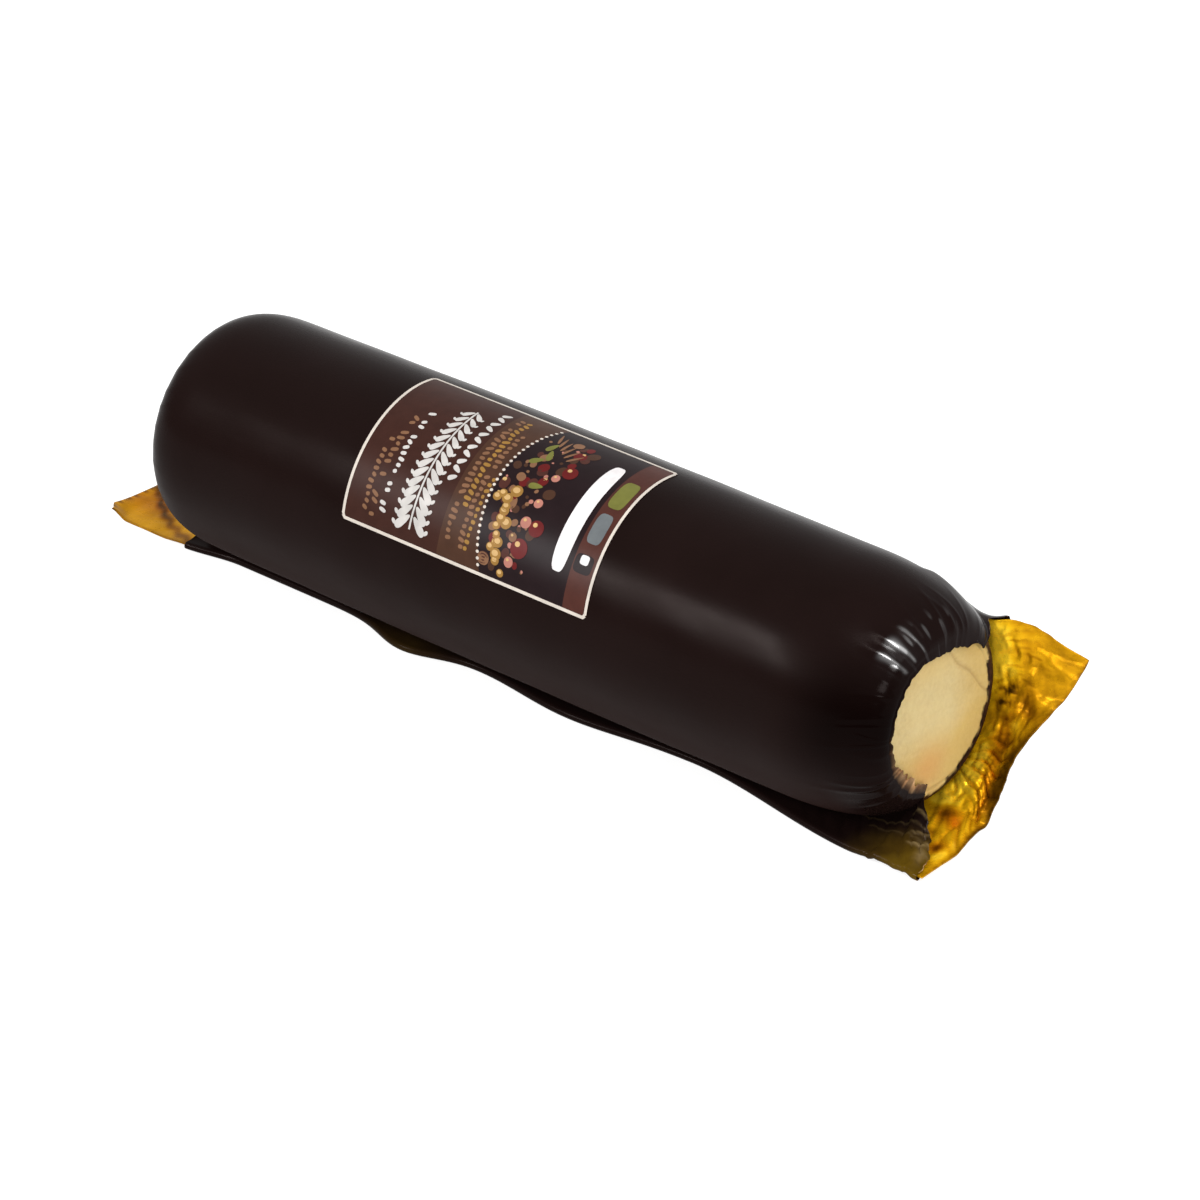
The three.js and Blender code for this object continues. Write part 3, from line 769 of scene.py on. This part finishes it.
class Print:
    """Collects printed shapes for one object with a material for each ink."""

    def __init__(self):
        self.points, self.faces, self.inks, self.slots, self.count = [], [], [], {}, 0

    def grid(self, a, b, layer, name):
        """A patch from arrays of a and b, at a layer above the label."""
        top = LABEL_LIFT + LABEL_THICKNESS + LAYER * layer
        self.points.append(label_point(a, b, top).reshape(-1, 3))
        index = np.arange(a.size).reshape(a.shape) + self.count
        self.count += a.size
        quads = faces_of(index[:-1, :-1], index[:-1, 1:], index[1:, 1:], index[1:, :-1])
        self.faces.append(quads)
        self.inks += [self.slots.setdefault(name, len(self.slots))] * len(quads)

    def blob(self, a, b, half_a, half_b, name, layer=3, turn=0.0, power=2.0, squeeze=0.0):
        """An ellipse, or a rounded rectangle at a higher power. Squeeze narrows one end."""
        rings = max(3, int(max(half_a, half_b) / 1.2) + 1)
        angle = linspace(0, 2 * pi, 29)
        share = linspace(0, 1, rings)[:, None]
        u, v = (np.sign(part) * abs(part) ** (2 / power) for part in (cos(angle), sin(angle)))
        u, v = share * (u * half_a), share * (v * half_b)
        v = v * (1 - squeeze * u / half_a)
        c, s = cos(turn), sin(turn)
        self.grid(a + c * u - s * v, b + s * u + c * v, layer, name)

    def bar(self, a, b, half_a, half_b, name, layer=3, power=4.0):
        """A tall rounded bar, in rows that follow the label's curve."""
        rows = int(2 * half_b / 1.2) + 12
        v = sin(linspace(-pi / 2, pi / 2, rows))[:, None]
        half = half_a * (1 - abs(v) ** power) ** (1 / power)
        u = half * linspace(-1, 1, 9)
        self.grid(a + u, b + half_b * v, layer, name)

    def strip(self, left, right, low, high, name, layer=1):
        """A panel from left(b) to right(b) between two values of b."""
        rows = max(2, int((high - low) / 1.5) + 1)
        b = linspace(low, high, rows)[:, None]
        a = mix(left(b), right(b), linspace(0, 1, 24))
        self.grid(a, b, layer, name)

    def make(self):
        inks = [print_material("ink_" + name, srgb(*INKS[name])) for name in self.slots]
        made = new_object("label_print", concatenate(self.points), concatenate(self.faces), inks[0])
        for ink in inks[1:]:
            made.data.materials.append(ink)
        made.data.polygons.foreach_set("material_index", np.array(self.inks, np.int32))
        made.data.update()
        return made


INKS = {
    "cream": (186, 177, 167), "white": (206, 202, 202), "chalk": (176, 172, 168), "tan": (112, 80, 58),
    "brown": (62, 40, 29), "red_brown": (66, 36, 30), "dark": (27, 16, 18), "gold": (132, 98, 48),
    "pale_gold": (176, 144, 96), "red": (86, 22, 22), "pink": (154, 102, 90), "green": (98, 98, 46),
    "grey": (92, 96, 98),
}

BORDER = 0.9  # width of the line round the label
EDGE = 0.02  # how far that line keeps from the label's long edges
PANEL_INSET = 1.0
BAND_FROM, STRIPE_FROM, STRIPE_TO = (share * LABEL_LENGTH for share in (0.395, 0.905, 0.988))


def at(share_a, share_b):
    return share_a * LABEL_LENGTH, share_b * LABEL_WIDTH


def straight(a):
    """A side for a strip, straight across the label at a."""
    return lambda b: 0 * b + a


def arch(b):
    """The bowed near side of the picture panel."""
    return LABEL_LENGTH * (0.52 + 0.055 * (2 * b / LABEL_WIDTH - 1) ** 2)


def arch_share(share_b):
    """Where that side is, as a share of the label's length."""
    return float(arch(share_b * LABEL_WIDTH)) / LABEL_LENGTH


def border(art):
    """The cream line round the label's edge."""
    def side(sign, inset=0):
        return lambda b: LABEL_LENGTH / 2 + sign * (label_reach(b) - inset)

    low, high = EDGE, LABEL_WIDTH - EDGE
    for sides in ((side(-1), side(-1, BORDER)), (side(1, BORDER), side(1))):
        art.strip(*sides, low, high, "cream", 2)
    for ends in ((low, BORDER), (LABEL_WIDTH - BORDER, high)):
        art.strip(side(-1), side(1), *ends, "cream", 2)


def grain_rows(art, random):
    """Rows of small slanted grains by the sprig and on the lighter band."""
    rows = [(0.085, 0.1, 0.5, "tan", 0.7), (0.115, 0.08, 0.66, "tan", 0.9),
            (0.155, 0.12, 0.72, "chalk", 0.8), (0.425, 0.12, 0.92, "tan", 0.9),
            (0.452, 0.3, 0.92, "gold", 0.85), (0.482, 0.1, 0.8, "tan", 0.8),
            (0.505, 0.1, 0.5, "gold", 0.6)]
    for share_a, first, last, name, size in rows:
        count = int((last - first) * LABEL_WIDTH / 1.75)
        for k in range(count):
            if random.uniform() < 0.1:
                continue
            a, b = at(share_a, first + (last - first) * k / count)
            art.blob(a + random.uniform(-0.3, 0.3), b, size * random.uniform(0.8, 1.5), 0.55, name,
                     turn=random.uniform(-0.5, 0.5), power=2.6)


def sprig(art):
    """A white sprig of paired leaves along the label, with a row of buds beside it."""
    stem_a, first, last = 0.275, 0.08, 0.82
    for k in range(14):
        a, b = at(stem_a, first + 0.052 * k)
        big = 1.1 - 0.03 * k
        for side in (-1, 1):
            art.blob(a + side * 2.6 * big, b + 1.5, 2.7 * big, 1.0 * big, "chalk",
                     turn=side * 0.8 + pi / 2, power=2.3, squeeze=0.35)
            art.blob(a + side * 5.2 * big, b + 0.6, 0.8 * big, 0.5 * big, "chalk", turn=side * 0.8)
    for k in range(11):
        a, b = at(0.365, 0.40 + 0.048 * k)
        art.blob(a, b, 1.5, 0.7, "chalk", turn=0.5 * (-1) ** k, power=2.4, squeeze=0.3)
    stem, half = stem_a * LABEL_LENGTH, 0.3
    art.strip(straight(stem - half), straight(stem + half),
              first * LABEL_WIDTH, last * LABEL_WIDTH, "chalk", 3)


def beads(art):
    for k in range(30):
        b = LABEL_WIDTH * (0.05 + 0.0305 * k)
        art.blob(float(arch(b)) - 0.2, b, 0.5, 0.42, "cream", 3)


def rounds(art, random, count, low, high, spread, names, size):
    """Small rounds strewn along the picture's bowed side, between two shares of the width."""
    for k in range(count):
        share_b = mix(low, high, k / count) + random.uniform(-0.02, 0.02)
        a, b = at(arch_share(share_b) + random.uniform(0.02, spread), share_b)
        half = random.uniform(*size)
        art.blob(a, b, half, half * 0.85, names[k % len(names)], 2 + 0.03 * k, power=2.2,
                 turn=random.uniform(0, pi))


# The picture's large fruits, each its place, size and ink, and its leaves, each its place and turn.
FRUITS = [(0.70, 0.2, 2.8, "red"), (0.735, 0.32, 2.4, "red"), (0.69, 0.33, 1.7, "pink"),
          (0.675, 0.12, 1.5, "pink"), (0.70, 0.44, 1.4, "pink"), (0.73, 0.66, 2.3, "red"),
          (0.70, 0.6, 1.3, "pink"), (0.665, 0.24, 1.3, "tan")]
LEAVES = [(0.595, 0.66, 0.6), (0.62, 0.72, 1.9), (0.655, 0.52, 0.2), (0.60, 0.78, 1.2)]


def still_life(art, random):
    """Golden grains, pink and red fruit, sticks and leaves in a dark picture."""
    rounds(art, random, 44, 0.06, 0.9, 0.2, ("brown", "red_brown", "tan", "red"), (0.9, 2.0))
    for k in range(16):
        share_b = 0.07 + 0.026 * k
        a, b = at(arch_share(share_b) + random.uniform(0.025, 0.11), share_b + random.uniform(-0.02, 0.02))
        size = random.uniform(1.1, 1.9)
        art.blob(a, b, size, size * 0.9, "gold", 3.6 + 0.1 * k)
        art.blob(a - 0.25, b + 0.25, size * 0.6, size * 0.45, "pale_gold", 3.65 + 0.1 * k)
    rounds(art, random, 40, 0.08, 0.88, 0.18, ("tan", "pale_gold", "pink", "brown"), (0.35, 0.8))
    for share_a, share_b, size, name in FRUITS:
        a, b = at(share_a, share_b)
        art.blob(a, b, size, size * 0.95, name, 5.4)
        art.blob(a - size * 0.3, b + size * 0.35, size * 0.3, size * 0.26, "pale_gold", 5.6)
    for k in range(6):
        a, b = at(0.59 + 0.022 * k, 0.87 - 0.022 * k)
        art.blob(a, b, 2.6, 0.4, "tan", 4, turn=1.9 - 0.2 * k, squeeze=0.4)
    for share_a, share_b, turn in LEAVES:
        a, b = at(share_a, share_b)
        art.blob(a, b, 2.2, 0.9, "green", 4.4, turn=turn, squeeze=0.4)


def panels(art):
    """The lighter band, the dark picture and the stripe beside it."""
    sides = (straight(BAND_FROM), arch, straight(STRIPE_FROM), straight(STRIPE_TO))
    for left, right, name in zip(sides, sides[1:], ("brown", "dark", "red_brown")):
        art.strip(left, right, PANEL_INSET, LABEL_WIDTH - PANEL_INSET, name)


def patches(art):
    """The long white bar in the picture, and rounded patches on the stripe."""
    a, b = at(0.855, 0.5)
    art.bar(a, b, 2.6, 0.33 * LABEL_WIDTH, "white", 4)
    for share_b, *patch in ((0.66, 2.6, 5.2, "green"), (0.44, 2.4, 4.6, "grey"),
                            (0.27, 1.4, 1.3, "white"), (0.25, 3.0, 2.6, "dark", 2.5)):
        a, b = at(0.944, share_b)
        art.bar(a, b, *patch)


def make_print():
    random = np.random.default_rng(21)
    art = Print()
    panels(art)
    grain_rows(art, random)
    sprig(art)
    beads(art)
    still_life(art, random)
    patches(art)
    border(art)
    return art.make()


# ---- Materials ----

def feed(socket, value):
    """Sets a socket to a plain value, or links it to another socket."""
    if isinstance(value, bpy.types.NodeSocket):
        socket.id_data.links.new(value, socket)
    else:
        socket.default_value = value


def new_material(name):
    material = bpy.data.materials.new(name)
    material.use_nodes = True
    return material, material.node_tree


def finished(material, values):
    """The material, once its shader has its values, each plain or a socket."""
    for name, value in values.items():
        feed(material.node_tree.nodes["Principled BSDF"].inputs[name], value)
    return material


def node(tree, kind, inputs=None, **settings):
    """A new node with its settings, and with its inputs by name or number."""
    made = tree.nodes.new("ShaderNode" + kind)
    for key, value in settings.items():
        setattr(made, key, value)
    for key, value in (inputs or {}).items():
        feed(made.inputs[key], value)
    return made


def noise(place, scale, detail=4.0, roughness=0.55):
    values = {"Vector": place, "Scale": scale, "Detail": detail, "Roughness": roughness}
    return node(place.id_data, "TexNoise", values).outputs["Fac"]


def ramp(value, stops):
    made = node(value.id_data, "ValToRGB", {"Fac": value})
    band = made.color_ramp
    while len(band.elements) < len(stops):
        band.elements.new(0.5)
    for element, (place, colour) in zip(band.elements, stops):
        element.position = place
        element.color = colour
    return made.outputs["Color"]


def blend(share, first, second, kind="MIX"):
    """A mix of two colours, each a socket or plain, by a socket's share."""
    made = node(share.id_data, "Mix", data_type="RGBA", blend_type=kind)
    sockets = {socket.name: socket for socket in made.inputs if socket.enabled}
    for name, value in (("Factor", share), ("A", first), ("B", second)):
        feed(sockets[name], value)
    return next(socket for socket in made.outputs if socket.enabled)


def blend_number(share, first, second):
    return node(share.id_data, "Mix", {0: share, 2: first, 3: second}, data_type="FLOAT").outputs[0]


def compute(operation, first, second):
    return node(first.id_data, "Math", {0: first, 1: second}, operation=operation).outputs["Value"]


def value_range(value, low, high, to_low=0.0, to_high=1.0):
    values = dict(enumerate((value, low, high, to_low, to_high)))
    return node(value.id_data, "MapRange", values).outputs["Result"]


def attribute(tree, name):
    return node(tree, "Attribute", attribute_name=name).outputs["Fac"]


def raised(height, strength, distance, below=None):
    """The normal of a surface raised by a height, over any relief below."""
    values = {"Height": height, "Strength": strength, "Distance": distance}
    if below is not None:
        values["Normal"] = below
    return node(height.id_data, "Bump", values).outputs["Normal"]


def object_place(tree, scale=(1, 1, 1)):
    source = node(tree, "TexCoord").outputs["Object"]
    return node(tree, "Mapping", {"Vector": source, "Scale": scale}).outputs["Vector"]


DRAWN = (0.25, 1, 1)  # stretches a texture along the log


def cheese_material():
    material, tree = new_material("cut_cheese")
    place = object_place(tree)
    cloudy = noise(place, 60, 5)
    grain = noise(place, 900)
    body = ramp(cloudy, [(0.3, srgb(172, 151, 104)), (0.7, srgb(187, 167, 119))])
    body = blend(value_range(grain, 0.35, 0.65, 0.0, 0.35), body, srgb(196, 176, 128))
    # The edge tint darkens and warms the face towards its bottom, back and top.
    body = blend(attribute(tree, "edge_tint"), body, (0.93, 0.81, 0.55, 1), "MULTIPLY")
    # The reddish patch, and painted shade in the knife mark's groove.
    for name, most, colour in (("blush", 0.5, srgb(186, 128, 72)), ("cut", 0.4, srgb(140, 108, 62))):
        share = value_range(attribute(tree, name), 0.0, 1.0, 0.0, most)
        body = blend(share, body, colour)
    # Smoked rind colour, also used as the painted shadow of the gap at the bare rim.
    smoked = ramp(grain, [(0.35, srgb(16, 6, 2)), (0.65, srgb(48, 23, 8))])
    knife = noise(object_place(tree, (1, 40, 500)), 1.0, 2)
    return finished(material, {
        "Base Color": blend(attribute(tree, "rind_and_gap_shade"), body, smoked),
        "Roughness": 0.5,
        "Specular IOR Level": 0.05,
        "Subsurface Weight": 0.25,
        "Subsurface Radius": (1.0, 0.6, 0.3),
        "Subsurface Scale": 0.0012,
        "Normal": raised(knife, 0.2, 0.0002, raised(grain, 0.35, 0.00015)),
    })


# Foil colours by its painted shading, from darkest to brightest.
GOLD = [(0.0, srgb(70, 44, 3)), (0.25, srgb(132, 88, 5)), (0.55, srgb(192, 138, 10)),
        (0.8, srgb(226, 174, 20)), (1.0, srgb(252, 206, 44))]
WARM_GOLD = [(0.0, srgb(64, 30, 3)), (0.3, srgb(134, 66, 3)), (0.6, srgb(190, 104, 6)),
             (1.0, srgb(226, 146, 20))]


def gold_material():
    material, tree = new_material("gold_foil")
    place = object_place(tree)
    cloudy = value_range(noise(place, 70), 0.3, 0.7, -0.12, 0.12)
    fine = noise(place, 420, 5, 0.6)
    # The card's painted shading, with a little random tone.
    shade = compute("ADD", attribute(tree, "painted_shading"), cloudy)
    cells = node(tree, "TexVoronoi", {"Scale": 150, "Vector": place}, feature="DISTANCE_TO_EDGE")
    folded = value_range(cells.outputs["Distance"], 0.0, 0.25)
    plain, warm = ramp(shade, GOLD), ramp(shade, WARM_GOLD)
    return finished(material, {
        "Base Color": blend(attribute(tree, "warm"), plain, warm),
        "Metallic": 0.34,
        "Specular IOR Level": 0.08,
        "Specular Tint": (1.0, 0.8, 0.35, 1),
        "Roughness": value_range(fine, 0.3, 0.7, 0.22, 0.36),
        "Normal": raised(fine, 0.08, 0.0002, raised(folded, 0.2, 0.0004)),
    })


FILM_COLOURS = [(0.35, (0.0062, 0.0030, 0.0026, 1)), (0.65, (0.0076, 0.0037, 0.0033, 1))]
# Painted sheen of the floor on the film's lower front.
FLOOR_SHEEN_COLOUR = (0.0135, 0.0060, 0.0050, 1)
# Painted shade on the front of the right shoulder.
FRONT_SHADE_COLOUR = (0.0016, 0.0005, 0.0004, 1)
# Painted highlight on the film's crests.
CREST_HIGHLIGHT_COLOUR = (0.14, 0.095, 0.04, 1)
GOLD_THROUGH_FILM = [(0.35, (0.05, 0.027, 0.002, 1)), (0.65, (0.095, 0.055, 0.004, 1))]
CHEESE_THROUGH_FILM = [(0.35, (0.2, 0.07, 0.02, 1)), (0.65, (0.66, 0.4, 0.19, 1))]


def film_material():
    material, tree = new_material("brown_film")
    place = object_place(tree)
    colour = ramp(noise(place, 28), FILM_COLOURS)
    gilded = ramp(noise(place, 90, 3), GOLD_THROUGH_FILM)
    fringe = ramp(noise(place, 240, 3), CHEESE_THROUGH_FILM)
    for name, over in (("dull_and_sheen", FLOOR_SHEEN_COLOUR), ("front_shade", FRONT_SHADE_COLOUR), ("over_gold", gilded),
                       ("over_face", fringe), ("crest_highlight", CREST_HIGHLIGHT_COLOUR)):
        colour = blend(attribute(tree, name), colour, over)
    drawn = noise(object_place(tree, DRAWN), 150)
    roughness = value_range(drawn, 0.3, 0.7, 0.23, 0.31)
    for name, rough in (("gathered", 0.17), ("dull_and_sheen", 0.85)):
        roughness = blend_number(attribute(tree, name), roughness, rough)
    return finished(material, {
        "Base Color": colour,
        "Specular IOR Level": 0.022,
        "Specular Tint": (1.0, 0.84, 0.8, 1),
        "Roughness": roughness,
        "Coat Weight": attribute(tree, "glossy"),
        "Coat Roughness": 0.17,
        "Coat IOR": 2.6,
        "Normal": raised(noise(place, 700, 3), 0.06, 0.0001, raised(drawn, 0.12, 0.0003)),
    })


def print_material(name, ink):
    material, tree = new_material(name)
    faded = [(0.3, tuple(0.8 * v for v in ink[:3]) + (1,)), (0.7, ink)]
    drawn = noise(object_place(tree, DRAWN), 150)
    return finished(material, {
        "Base Color": ramp(noise(object_place(tree), 260), faded),
        "Specular IOR Level": 0.06,
        "Roughness": 0.34,
        "Normal": raised(drawn, 0.12, 0.0003),
    })


# ---- Floor, light and camera, in metres ----

def make_floor():
    size, level = 12.0, -0.0003
    corners = [(-size, -size, level), (size, -size, level), (size, size, level), (-size, size, level)]
    mesh = bpy.data.meshes.new("floor")
    mesh.from_pydata(corners, [], [range(4)])
    mesh.materials.append(finished(new_material("pale_floor")[0], {
        "Base Color": (0.36, 0.36, 0.357, 1),
        "Emission Color": (1, 1, 1, 1),
        "Emission Strength": 0.8,
        "Roughness": 0.8,
        "Specular IOR Level": 0.1,
    }))
    add_object("floor", mesh)


def direction(azimuth, elevation):
    """Azimuth 0 is the front, -Y, and a positive one turns towards +X."""
    a, e = radians(azimuth), radians(elevation)
    return Vector((sin(a) * cos(e), -cos(a) * cos(e), sin(e)))


def area_light(name, toward, distance, size, power, along=None):
    """A softbox that looks at the pack, its first side level or along a given direction."""
    data = bpy.data.lights.new(name, "AREA")
    data.shape = "RECTANGLE"
    data.size, data.size_y = size
    data.energy = power
    x_axis = along or Vector((0, 0, 1)).cross(toward)
    x_axis = (x_axis - toward * x_axis.dot(toward)).normalized()
    axes = Matrix((x_axis, toward.cross(x_axis), toward)).transposed()
    made = add_object(name, data)
    made.matrix_world = Matrix.Translation(toward * distance) @ axes.to_4x4()
    made.visible_camera = False


def slanted_light(name, low, high, distance, size, power):
    """A softbox whose first side runs between two directions."""
    low, high = direction(*low), direction(*high)
    area_light(name, (low + high).normalized(), distance, size, power, low - high)


def make_world():
    """Even white light from above and behind, and a darker room low in front."""
    world = bpy.data.worlds.new("studio")
    world.use_nodes = True
    bpy.context.scene.world = world
    tree = world.node_tree
    toward = node(tree, "TexCoord").outputs["Generated"]
    split = node(tree, "SeparateXYZ", {"Vector": toward})
    behind = value_range(split.outputs["Y"], -0.45, 0.25)
    above = value_range(split.outputs["Z"], 0.2, 0.6)
    strength = value_range(compute("MAXIMUM", behind, above), 0.0, 1.0, 0.15, 0.92)
    for name, value in (("Strength", strength), ("Color", (1, 1, 1, 1))):
        feed(tree.nodes["Background"].inputs[name], value)


def make_light():
    make_world()
    slanted_light("key", (75, 48), (-19, 69), 2.2, (1.5, 0.22), 22)
    slanted_light("streak", (-26, 21), (-42, 38), 2.4, (0.9, 0.2), 38)
    area_light("side", direction(58, 22), 2.4, (0.6, 0.5), 13)
    slanted_light("glint", (100, 30), (48, 66), 2.2, (1.3, 1.0), 8)


def make_camera():
    """The camera at the photo's angle, fitted to the pack's outline there."""
    data = bpy.data.cameras.new("camera")
    data.lens = 166.36
    data.shift_x, data.shift_y = 0.03235, -0.03468
    data.clip_end = 100
    made = add_object("camera", data)
    target, distance = Vector(to_metres((-0.7, 0, AXIS_Z))), 1.4798
    back = direction(41.205, 28.290)
    made.location = target + back * distance
    made.rotation_mode = "QUATERNION"
    made.rotation_quaternion = (-back).to_track_quat("-Z", "Y")
    bpy.context.scene.camera = made


def set_colours():
    view = bpy.context.scene.view_settings
    view.view_transform, view.look = "Standard", "None"


def dress(made, slot_name, *nodes):
    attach(made, "root")
    if nodes:
        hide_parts(*nodes)


dress(make_log(), "cheese", "cheese")
dress(make_card(), "gold_card", "card")
dress(make_film(), "brown_film", "sleeve")
dress(make_label(), "printed_label", "label")
dress(make_print(), "printed_label")
make_floor()
make_light()
make_camera()
set_colours()
